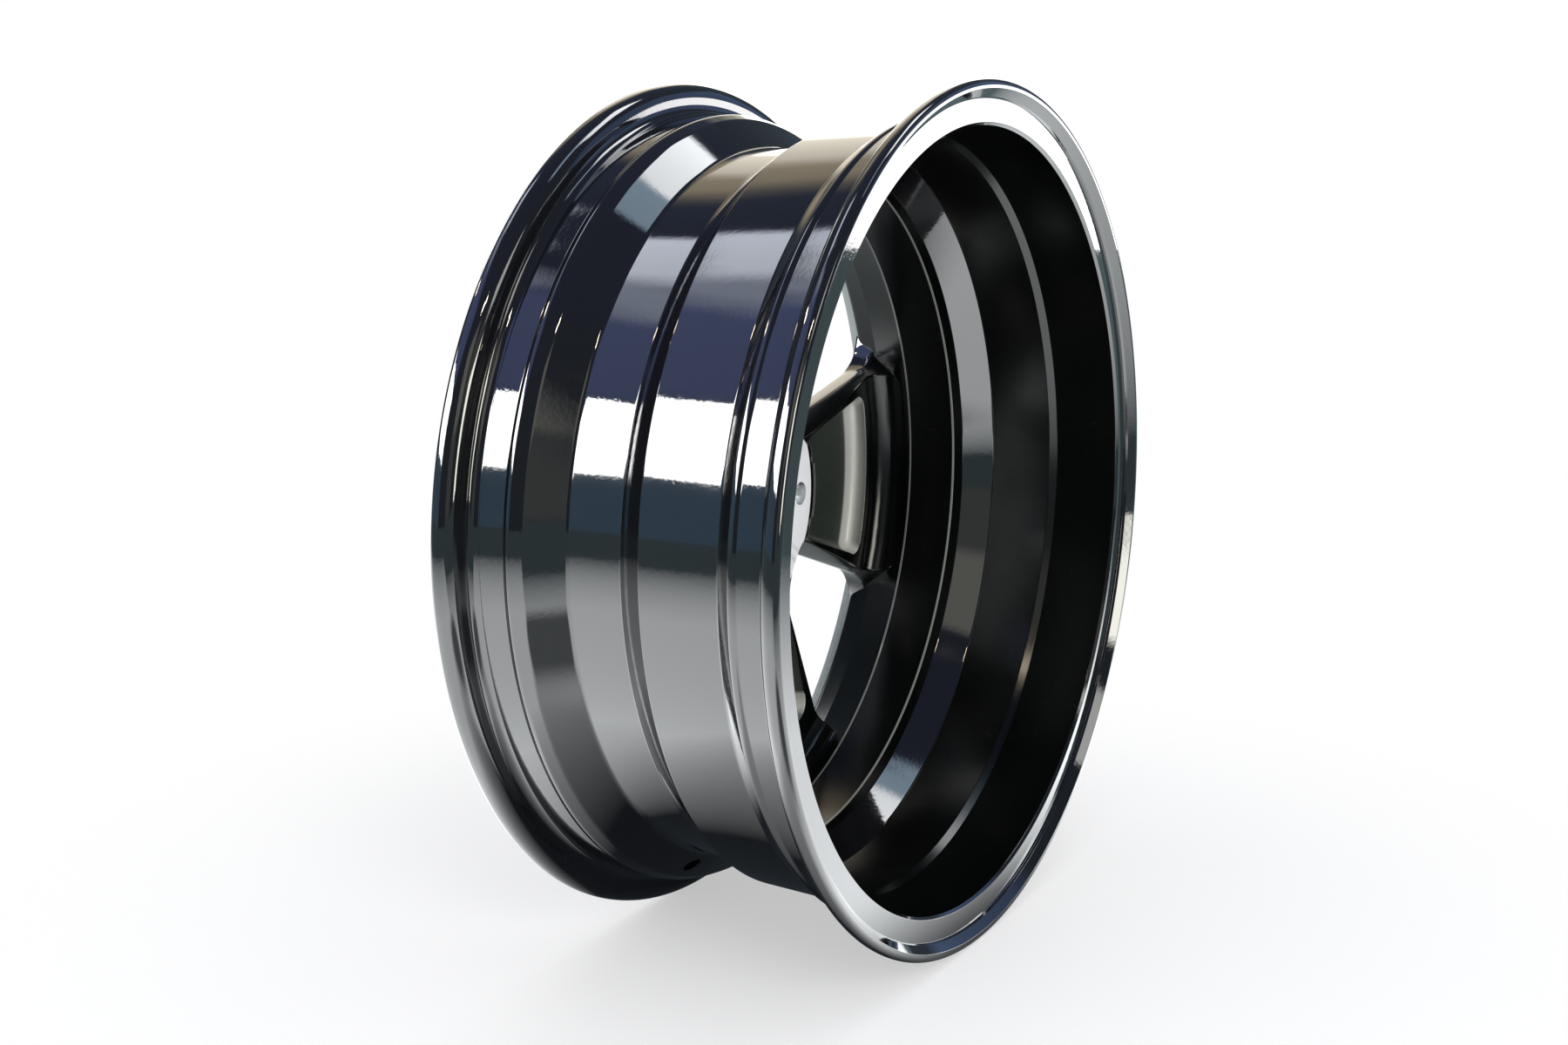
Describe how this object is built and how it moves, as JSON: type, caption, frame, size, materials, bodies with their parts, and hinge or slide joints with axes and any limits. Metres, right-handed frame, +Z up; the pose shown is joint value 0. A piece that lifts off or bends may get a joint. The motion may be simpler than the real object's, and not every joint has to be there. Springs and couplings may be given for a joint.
{
  "type": "wheel rim",
  "caption": "Cast aluminium car wheel rim with J section flanges, drop centre well, pocketed spokes and hub bolt holes, painted gloss black.",
  "frame": {"origin": "centre of the wheel: on the axle line, midway across the overall width", "axes": "+Y along the axle line towards the car, -Y out of the wheel's outer face, +Z up"},
  "size_m": [0.4966, 0.2044, 0.4964],
  "materials": {
    "casting": "gloss black paint, hub pad and flange faces bare machined metal"
  },
  "bodies": {
    "root": {"wheel_rim": "casting"}
  },
  "joints": []
}
